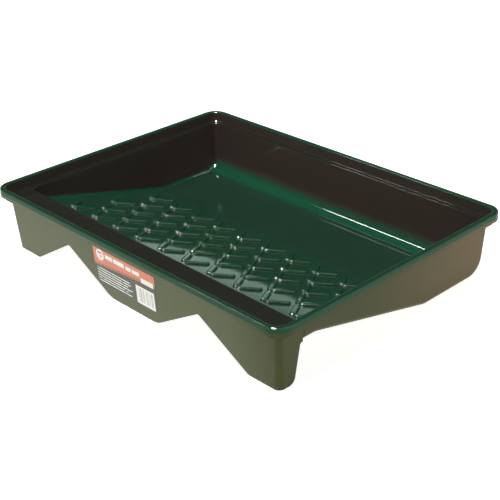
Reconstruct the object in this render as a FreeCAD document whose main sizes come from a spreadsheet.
import FreeCAD, Part

import math
import os

import Sketcher
from FreeCAD import Placement, Rotation, Vector

# A wide paint roller tray, moulded in one piece, with a printed label stuck on its front skirt.
# Frame: +X across the tray, -Y the shallow front end, +Y the deep end, +Z up.
# The origin is the middle of the bounding box, at floor level. Millimetres.

doc = FreeCAD.newDocument("roller_tray")

# ---------------------------------------------------------------- driving dimensions

SIZES = [
    # the whole tray
    ("width", 533, "rim edge to rim edge across the tray"),
    ("depth", 398, "rim edge to rim edge, front to back"),
    ("height", 89.5, "floor to the top of the rim"),
    ("wall", 2.2, "moulded wall thickness"),
    # rim
    ("rim_corner", 21, "outer corner radius of the rim in plan"),
    ("rim_band", 7.3, "rim edge to the inner edge of the rim's flat top"),
    ("lip_drop", 10.8, "how far the turned-down lip hangs from the rim top"),
    ("rim_round", 2, "rounding of both edges of the rim top"),
    # ledge and front shelf, one level surface all round
    ("ledge_drop", 14.5, "rim top down to the ledge"),
    ("ledge_root", 8.4, "rim edge to the outer edge of the ledge"),
    ("band_outside", 5.8, "rim edge to the outside of the band above the ledge"),
    ("band_draft", 4.3, "lean of the band's inner face in degrees"),
    ("ledge_round", 1.6, "rounding at the root and the edge of the ledge"),
    # walls, given on the outside at floor level; they lean out going up
    ("base_inset", 17, "rim edge to the outside of the wall at floor level"),
    ("draft", 3.1, "lean of the walls in degrees"),
    ("wall_corner", 8, "outside radius of the wall corners and of the lower side edges"),
    # lengths below are from the front edge of the rim
    ("shelf_back", 48.6, "back face of the front shelf"),
    ("riser_lean", 1.5, "how far the shelf's back face leans over its height"),
    ("landing_end", 73, "end of the level landing below the shelf"),
    ("landing_rise", 52.2, "height of the landing's upper face"),
    ("landing_round", 6, "fillet between the shelf's back face and the landing"),
    ("crest_bend", 20, "radius where the landing turns into the ramp"),
    ("ramp_end", 268, "where the ramp meets the well floor"),
    ("ramp_bend", 30, "radius where the ramp meets the well floor"),
    ("well_round", 24, "inside radius between the well floor and the back wall"),
    # skirt with three feet
    ("foot_middle", 44.5, "half width of the middle foot at floor level"),
    ("foot_outer", 202, "centre to the inner end of an outer foot at floor level"),
    ("notch_peak", 124, "centre to the peak of a notch between the feet"),
    ("notch_rise", 47, "height of the notches"),
    ("notch_round", 4, "radius at the peak of a notch"),
    ("foot_round", 9, "radius where an outer foot turns up into a notch"),
    ("middle_round", 30, "radius where the middle foot turns up into a notch"),
    ("leg_foot", 40, "back end of the side legs at floor level"),
    ("leg_head", 47.5, "back end of the side legs at landing level"),
    ("leg_round", 3, "radius where a side leg meets the landing"),
    # raised roll-off bars on the ramp, in V shaped pairs
    ("bar_pitch", 46.2, "spacing of the pairs across the tray"),
    ("bar_row", 34.4, "spacing of the rows down the ramp"),
    ("bar_start", 12, "landing end to the first row, down the ramp"),
    ("bar_width", 8.5, "width of a bar at the ramp"),
    ("bar_tall", 3, "height of a bar above the ramp"),
    ("bar_round", 2.7, "rounding of a bar's top edge"),
    ("bar_draft", 6, "lean of a bar's sides in degrees"),
    ("bar_length", 23, "between the centres of a bar's round ends"),
    ("bar_apart", 3.5, "middle of a pair to the centre of a bar's near end"),
    ("bar_angle", 57, "angle of a bar from the tray's width, in degrees"),
    ("bar_root", 0.6, "depth that a bar reaches into the ramp's wall"),
    # label
    ("label_width", 118, "label across the tray"),
    ("label_tall", 56, "label up the skirt"),
    ("label_low", 16, "floor to the label's lower edge"),
    ("label_offset", -10, "label's middle from the tray's middle"),
    ("label_thick", 0.25, "film and adhesive"),
    ("label_corner", 2, "corner radius of the label"),
]

sheet = doc.addObject("Spreadsheet::Sheet", "Sizes")
for row, (alias, number, note) in enumerate(SIZES, start=1):
    sheet.set(f"A{row}", note)
    sheet.set(f"B{row}", str(number))
    sheet.setAlias(f"B{row}", alias)
doc.recompute()

ALIASES = [alias for alias, number, note in SIZES]


def sheet_terms(expression):
    """Puts the sheet's name before each alias in an expression."""
    words = []
    word = ""
    for letter in expression + " ":
        if letter.isalnum() or letter == "_":
            word += letter
            continue
        words.append(f"Sizes.{word}" if word in ALIASES else word)
        words.append(letter)
        word = ""
    return "".join(words).strip()


def size(expression):
    """The number that an expression of sheet aliases gives now."""
    return float(sheet.evalExpression(sheet_terms(expression)))


def bind(thing, path, expression):
    thing.setExpression(path, sheet_terms(expression))


# ---------------------------------------------------------------- sketch helpers


def origin_plane(body, role):
    for feature in body.Origin.OriginFeatures:
        if feature.Role == role:
            return feature
    raise LookupError(role)


def new_sketch(body, name, role, offset=None):
    """A sketch on one of the body's own origin planes, moved along its normal by an expression."""
    sketch = body.newObject("Sketcher::SketchObject", name)
    sketch.AttachmentSupport = [(origin_plane(body, role), "")]
    sketch.MapMode = "FlatFace"
    if offset is not None:
        bind(sketch, "AttachmentOffset.Base.z", offset)
    return sketch


def locate(sketch, geometry, point, across, up, name):
    """Fixes a point of a sketch at a place given by two expressions."""
    for kind, expression in (("DistanceX", across), ("DistanceY", up)):
        value = size(expression)
        index = sketch.addConstraint(Sketcher.Constraint(kind, -1, 1, geometry, point, value))
        sketch.renameConstraint(index, f"{name}{kind[-1]}")
        bind(sketch, f"Constraints.{name}{kind[-1]}", expression)


def closed_outline(sketch, corners):
    """Draws a closed outline. Each corner is (across, up) or (across, up, radius), as expressions."""
    places = [Vector(size(c[0]), size(c[1]), 0) for c in corners]
    radii = [size(c[2]) if len(c) > 2 else 0 for c in corners]
    count = len(corners)
    mark = f"p{sketch.GeometryCount}_"
    entry, leave, centres = [], [], []
    for i, place in enumerate(places):
        back = (places[i - 1] - place).normalize()
        ahead = (places[(i + 1) % count] - place).normalize()
        half_turn = back.getAngle(ahead) / 2
        setback = radii[i] / math.tan(half_turn)
        entry.append(place + back * setback)
        leave.append(place + ahead * setback)
        middle = (back + ahead).normalize()
        centres.append(place + middle * (radii[i] / math.sin(half_turn)))
    lines = []
    for i in range(count):
        lines.append(sketch.addGeometry(Part.LineSegment(leave[i], entry[(i + 1) % count]), False))
    for i, place in enumerate(places):
        before, after = lines[i - 1], lines[i]
        if radii[i] == 0:
            sketch.addConstraint(Sketcher.Constraint("Coincident", before, 2, after, 1))
            locate(sketch, after, 1, corners[i][0], corners[i][1], f"{mark}{i}")
            continue
        start = entry[i] - centres[i]
        end = leave[i] - centres[i]
        left_turn = start.cross(end).z > 0
        angles = [math.atan2(arm.y, arm.x) for arm in (start, end)]
        if not left_turn:
            angles.reverse()
        circle = Part.Circle(centres[i], Vector(0, 0, 1), radii[i])
        arc = sketch.addGeometry(Part.ArcOfCircle(circle, *angles), False)
        first, last = (1, 2) if left_turn else (2, 1)
        sketch.addConstraint(Sketcher.Constraint("Tangent", before, 2, arc, first))
        sketch.addConstraint(Sketcher.Constraint("Tangent", arc, last, after, 1))
        radius = sketch.addConstraint(Sketcher.Constraint("Radius", arc, radii[i]))
        sketch.renameConstraint(radius, f"{mark}{i}R")
        bind(sketch, f"Constraints.{mark}{i}R", corners[i][2])
        corner = sketch.addGeometry(Part.Point(place), True)
        sketch.addConstraint(Sketcher.Constraint("PointOnObject", corner, 1, before))
        sketch.addConstraint(Sketcher.Constraint("PointOnObject", corner, 1, after))
        locate(sketch, corner, 1, corners[i][0], corners[i][1], f"{mark}{i}")


def plan_corners(inset, radius):
    """Corners of a rounded rectangle at an inset from the edge of the rim."""
    half_x = f"(width / 2 - ({inset}))"
    half_y = f"(depth / 2 - ({inset}))"
    signs = ((-1, -1), (1, -1), (1, 1), (-1, 1))
    return [(f"{sx} * {half_x}", f"{sy} * {half_y}", radius) for sx, sy in signs]


def from_front(expression):
    return f"({expression}) - depth / 2"


# ---------------------------------------------------------------- feature helpers


def pad(body, sketch, name, length, midplane=False):
    feature = body.newObject("PartDesign::Pad", name)
    feature.Profile = sketch
    feature.Midplane = midplane
    bind(feature, "Length", length)
    doc.recompute()
    return feature


def pocket(body, sketch, name, length, reverse=False, midplane=False):
    """Cuts with a sketch, and makes sure that something was taken away."""
    before = body.Shape.Volume
    feature = body.newObject("PartDesign::Pocket", name)
    feature.Profile = sketch
    feature.Reversed = reverse
    feature.Midplane = midplane
    bind(feature, "Length", length)
    doc.recompute()
    if body.Shape.Volume > before - 1:
        raise RuntimeError(f"{name} cut nothing")
    return feature


def edges_where(shape, test):
    return [f"Edge{i}" for i, edge in enumerate(shape.Edges, start=1) if test(edge)]


def trim_sides(body, name, inset, top):
    """Cuts both sides of a body to walls that lean out from an inset at floor level."""
    sketch = new_sketch(body, f"{name}_lines", "XZ_Plane")
    foot = f"(width / 2 - ({inset}))"
    head = f"({foot} + ({top}) * tan(draft * 1deg))"
    for side in ("-1", "1"):
        outline = [(f"{side} * {foot}", "0"), (f"{side} * {head}", top)]
        outline += [(f"{side} * width", top), (f"{side} * width", "0")]
        closed_outline(sketch, outline)
    return pocket(body, sketch, name, "4 * depth", midplane=True)


def fillet(body, feature, name, radius, test):
    rounded = body.newObject("PartDesign::Fillet", name)
    rounded.Base = (feature, edges_where(feature.Shape, test))
    bind(rounded, "Radius", radius)
    doc.recompute()
    return rounded


def on_side_outline(edge, half_width, slope):
    """An edge whose two ends lie in one of the two leaning side faces."""
    ends = [edge.valueAt(edge.FirstParameter), edge.valueAt(edge.LastParameter)]
    return all(abs(abs(p.x) - half_width - slope * p.z) < 0.01 for p in ends)


# ---------------------------------------------------------------- levels and lines

LEDGE = "(height - ledge_drop)"
LEDGE_UNDER = "(height - ledge_drop - wall)"
SLOPE = math.tan(math.radians(size("draft")))


def lower_side_edge(inset, top, front):
    """A test for the edges round the foot and back of two leaning sides."""
    half_width = size(f"width / 2 - ({inset})")

    def test(edge):
        ends = [edge.valueAt(edge.FirstParameter), edge.valueAt(edge.LastParameter)]
        at_top = all(abs(p.z - size(top)) < 0.01 for p in ends)
        at_front = all(p.y < size(front) for p in ends)
        return on_side_outline(edge, half_width, SLOPE) and not at_top and not at_front

    return test


def basin(body, grow, top):
    """The basin's shape: landing, ramp, well floor and back wall, with leaning sides.

    grow is 0 for its inner surface and the wall for its outer one.
    """
    thin = f"(wall - {grow})"
    profile = new_sketch(body, f"{body.Name}_profile", "YZ_Plane")
    back_foot = f"(depth / 2 - base_inset - {thin})"
    closed_outline(
        profile,
        [
            (from_front(f"shelf_back - {grow}"), top),
            (from_front(f"shelf_back + riser_lean - {grow}"), f"landing_rise - {grow}", "landing_round"),
            (from_front("landing_end"), f"landing_rise - {grow}", "crest_bend"),
            (from_front("ramp_end"), thin, "ramp_bend"),
            (f"{back_foot} + {thin} * tan(draft * 1deg)", thin, f"well_round + {grow}"),
            (f"{back_foot} + {top} * tan(draft * 1deg)", top),
        ],
    )
    pad(body, profile, f"{body.Name}_block", "width", midplane=True)
    inset = f"base_inset + {thin}"
    sides = trim_sides(body, f"{body.Name}_sides", inset, top)
    edges = lower_side_edge(inset, top, from_front("shelf_back + riser_lean + 1"))
    return fillet(body, sides, f"{body.Name}_corners", f"wall_corner - {thin}", edges)


# ---------------------------------------------------------------- the basin's outside

basin_outside = doc.addObject("PartDesign::Body", "basin_outside")
basin(basin_outside, "wall", LEDGE_UNDER)


# ---------------------------------------------------------------- rim, lip and ledge

rim = doc.addObject("PartDesign::Body", "rim")

edge_plan = new_sketch(rim, "edge_plan", "XY_Plane", "height - lip_drop")
closed_outline(edge_plan, plan_corners("0", "rim_corner"))
pad(rim, edge_plan, "rim_block", "lip_drop")

groove_plan = new_sketch(rim, "groove_plan", "XY_Plane", "height - lip_drop")
closed_outline(groove_plan, plan_corners("wall", "rim_corner - wall"))
pocket(rim, groove_plan, "lip_hollow", "lip_drop - wall", reverse=True)

band_plan = new_sketch(rim, "band_plan", "XY_Plane", LEDGE_UNDER)
closed_outline(band_plan, plan_corners("band_outside", "rim_corner - band_outside"))
band = pad(rim, band_plan, "band_block", "ledge_drop + wall")


def rim_top_edge(edge):
    ends = [edge.valueAt(edge.FirstParameter), edge.valueAt(edge.LastParameter)]
    return all(abs(p.z - size("height")) < 0.01 for p in ends)


fillet(rim, band, "rim_edge", "rim_round", rim_top_edge)


# ---------------------------------------------------------------- front skirt and its feet


def skirt_shape(body, thin, back):
    """The skirt's block: a leaning front wall and leaning sides, with rounded corners between."""
    front = f"base_inset + {thin}"
    lean = "tan(draft * 1deg)"
    profile = new_sketch(body, f"{body.Name}_profile", "YZ_Plane")
    face = [
        (from_front(f"{front} - {LEDGE_UNDER} * {lean}"), LEDGE_UNDER),
        (from_front(front), "0"),
    ]
    closed_outline(profile, face + back)
    pad(body, profile, f"{body.Name}_block", "width", midplane=True)
    sides = trim_sides(body, f"{body.Name}_sides", front, LEDGE_UNDER)
    half_width = size(f"width / 2 - ({front})")

    def corner(edge):
        ends = [edge.valueAt(edge.FirstParameter), edge.valueAt(edge.LastParameter)]
        at_front = all(p.y < size(from_front(f"{front} + 1")) for p in ends)
        return at_front and on_side_outline(edge, half_width, SLOPE) and abs(ends[0].z - ends[1].z) > 1

    return fillet(body, sides, f"{body.Name}_corners", f"wall_corner - {thin}", corner)


skirt_block = doc.addObject("PartDesign::Body", "skirt_block")
skirt_shape(
    skirt_block,
    "0",
    [
        (from_front("leg_foot"), "0", "foot_round"),
        (from_front("leg_head"), "landing_rise - wall", "leg_round"),
        (from_front("shelf_back + riser_lean + 1"), "landing_rise - wall"),
        (from_front("shelf_back + riser_lean + 1"), LEDGE_UNDER),
    ],
)

notches = new_sketch(skirt_block, "notch_lines", "XZ_Plane")
for side in ("-1", "1"):
    closed_outline(
        notches,
        [
            (f"{side} * (foot_middle - 2 * foot_round)", "0"),
            (f"{side} * foot_middle", "0", "middle_round"),
            (f"{side} * notch_peak", "notch_rise", "notch_round"),
            (f"{side} * foot_outer", "0", "foot_round"),
            (f"{side} * (foot_outer + 2 * foot_round)", "0"),
            (f"{side} * (foot_outer + 2 * foot_round)", "-foot_round"),
            (f"{side} * (foot_middle - 2 * foot_round)", "-foot_round"),
        ],
    )
pocket(skirt_block, notches, "notches", "4 * depth", midplane=True)

skirt_hollow = doc.addObject("PartDesign::Body", "skirt_hollow")
skirt_shape(
    skirt_hollow,
    "wall",
    [
        (from_front("2 * shelf_back"), "0"),
        (from_front("2 * shelf_back"), LEDGE_UNDER),
    ],
)

skirt = doc.addObject("Part::Cut", "skirt")
skirt.Base = skirt_block
skirt.Tool = skirt_hollow


# ---------------------------------------------------------------- the space inside

space = doc.addObject("PartDesign::Body", "space_inside")
basin(space, "0", LEDGE)

ledge_plan = new_sketch(space, "ledge_plan", "XY_Plane", LEDGE)
closed_outline(ledge_plan, plan_corners("ledge_root", "rim_corner - ledge_root"))
above = pad(space, ledge_plan, "space_above_ledge", "ledge_drop + 1")
bind(above, "TaperAngle", "band_draft")
doc.recompute()


def ledge_edge(edge):
    ends = [edge.valueAt(edge.FirstParameter), edge.valueAt(edge.LastParameter)]
    return all(abs(p.z - size(LEDGE)) < 0.01 for p in ends)


fillet(space, above, "ledge_edges", "ledge_round", ledge_edge)


# ---------------------------------------------------------------- raised bars on the ramp

RAMP_ANGLE = "atan((landing_rise - wall) / (ramp_end - landing_end))"


def round_ended_slot(sketch, near, far, width):
    """Draws a slot between two centres, each given as (across, up) expressions."""
    ends = [Vector(size(x), size(y), 0) for x, y in (near, far)]
    along = (ends[1] - ends[0]).normalize()
    heading = math.atan2(along.y, along.x)
    arcs = []
    for centre, turn in zip(ends, (math.pi / 2, -math.pi / 2)):
        circle = Part.Circle(centre, Vector(0, 0, 1), size(width) / 2)
        start = heading + turn
        arcs.append(sketch.addGeometry(Part.ArcOfCircle(circle, start, start + math.pi), False))
    for i in (0, 1):
        after, before = arcs[i], arcs[1 - i]
        start = sketch.Geometry[before].EndPoint
        end = sketch.Geometry[after].StartPoint
        line = sketch.addGeometry(Part.LineSegment(start, end), False)
        sketch.addConstraint(Sketcher.Constraint("Tangent", before, 2, line, 1))
        sketch.addConstraint(Sketcher.Constraint("Tangent", line, 2, after, 1))
    sketch.addConstraint(Sketcher.Constraint("Equal", arcs[0], arcs[1]))
    radius = sketch.addConstraint(Sketcher.Constraint("Radius", arcs[0], size(width) / 2))
    sketch.renameConstraint(radius, "slot_radius")
    bind(sketch, "Constraints.slot_radius", f"{width} / 2")
    locate(sketch, arcs[0], 3, *near, "near")
    locate(sketch, arcs[1], 3, *far, "far")


def bars(name, side, first_row, rows, across):
    """One arm of every V in every second row, from a given row. The V's open down the ramp."""
    body = doc.addObject("PartDesign::Body", name)
    sketch = new_sketch(body, f"{name}_plan", "XY_Plane")
    sketch.AttachmentOffset = Placement(Vector(), Rotation(Vector(1, 0, 0), -size(RAMP_ANGLE)))
    bind(sketch, "AttachmentOffset.Rotation.Angle", f"-{RAMP_ANGLE}")
    bind(sketch, "AttachmentOffset.Base.y", f"{from_front('landing_end')} - bar_root * sin({RAMP_ANGLE})")
    bind(sketch, "AttachmentOffset.Base.z", f"landing_rise - bar_root * cos({RAMP_ANGLE})")
    near_x = f"{side} * bar_apart - bar_pitch * ({across} - 1) / 2"
    near_y = f"bar_start + bar_row * {first_row - 1}"
    far_x = f"{near_x} + {side} * bar_length * cos(bar_angle * 1deg)"
    far_y = f"{near_y} + bar_length * sin(bar_angle * 1deg)"
    round_ended_slot(sketch, (near_x, near_y), (far_x, far_y), "bar_width")
    block = pad(body, sketch, f"{name}_block", "bar_tall + bar_root")
    bind(block, "TaperAngle", "-bar_draft")
    doc.recompute()
    level = max(face.CenterOfMass.z + face.CenterOfMass.y / 4 for face in block.Shape.Faces)

    def top_edge(edge):
        return any(
            edge.isSame(other)
            for face in block.Shape.Faces
            if abs(face.CenterOfMass.z + face.CenterOfMass.y / 4 - level) < 0.01
            for other in face.Edges
        )

    one = fillet(body, block, f"{name}_edge", "bar_round", top_edge)
    body.Tip = one
    grid = body.newObject("PartDesign::LinearPattern", f"{name}_grid")
    grid.TransformMode = "Whole shape"
    grid.Mode = "Extent"
    grid.Mode2 = "Extent"
    grid.Direction = (sketch, ["H_Axis"])
    grid.Direction2 = (sketch, ["V_Axis"])
    bind(grid, "Occurrences", str(across))
    bind(grid, "Occurrences2", str(rows))
    bind(grid, "Length", f"bar_pitch * ({across} - 1)")
    bind(grid, "Length2", f"2 * bar_row * ({rows} - 1)")
    doc.recompute()
    body.Tip = grid
    doc.recompute()
    return body


BAR_SETS = [("odd", 1, 3, 10), ("even", 2, 2, 9)]
all_bars = []
for row_name, first_row, rows, across in BAR_SETS:
    for arm, side in (("left", "-1"), ("right", "1")):
        all_bars.append(bars(f"bars_{row_name}_{arm}", side, first_row, rows, across))


# ---------------------------------------------------------------- the tray as one moulding

outer_solid = doc.addObject("Part::MultiFuse", "outer_solid")
outer_solid.Shapes = [basin_outside, rim, skirt]

hollowed = doc.addObject("Part::Cut", "hollowed")
hollowed.Base = outer_solid
hollowed.Tool = space

with_bars = doc.addObject("Part::MultiFuse", "with_bars")
with_bars.Shapes = [hollowed] + all_bars
doc.recompute()

tray = doc.addObject("PartDesign::Body", "Tray")
tray.Label = "tray"
tray.BaseFeature = with_bars
doc.recompute()


def inner_rim_edge(edge):
    ends = [edge.valueAt(edge.FirstParameter), edge.valueAt(edge.LastParameter)]
    inner_x = size("width / 2 - rim_band") + 1
    inner_y = size("depth / 2 - rim_band") + 1
    return rim_top_edge(edge) and all(abs(p.x) < inner_x and abs(p.y) < inner_y for p in ends)


fillet(tray, tray.Group[0], "inner_rim_edge", "rim_round", inner_rim_edge)


# ---------------------------------------------------------------- label on the skirt

label = doc.addObject("PartDesign::Body", "Label_body")
label.Label = "label"
label_plan = new_sketch(label, "label_plan", "XZ_Plane")
corner_signs = ((-1, 0), (1, 0), (1, 1), (-1, 1))
closed_outline(
    label_plan,
    [
        (f"label_offset + {sx} * label_width / 2", f"label_low + {up} * label_tall", "label_corner")
        for sx, up in corner_signs
    ],
)
pad(label, label_plan, "label_film", "label_thick")
label.Placement = Placement(Vector(), Rotation(Vector(1, 0, 0), size("draft")))
bind(label, "Placement.Rotation.Angle", "draft * 1deg")
bind(label, "Placement.Base.y", from_front("base_inset"))
doc.recompute()


# ---------------------------------------------------------------- checks and export

for thing in doc.Objects:
    if "Invalid" in thing.State or "Error" in thing.State:
        raise RuntimeError(f"{thing.Name} failed: {thing.State}")

os.makedirs("parts", exist_ok=True)
for node in (tray, label):
    if node.Shape.isNull() or not node.Shape.isValid() or len(node.Shape.Solids) != 1:
        raise RuntimeError(f"{node.Label} isn't one valid solid")
    node.Shape.exportStep(f"parts/{node.Label}.step")
    print(node.Label, round(node.Shape.Volume), "mm3")
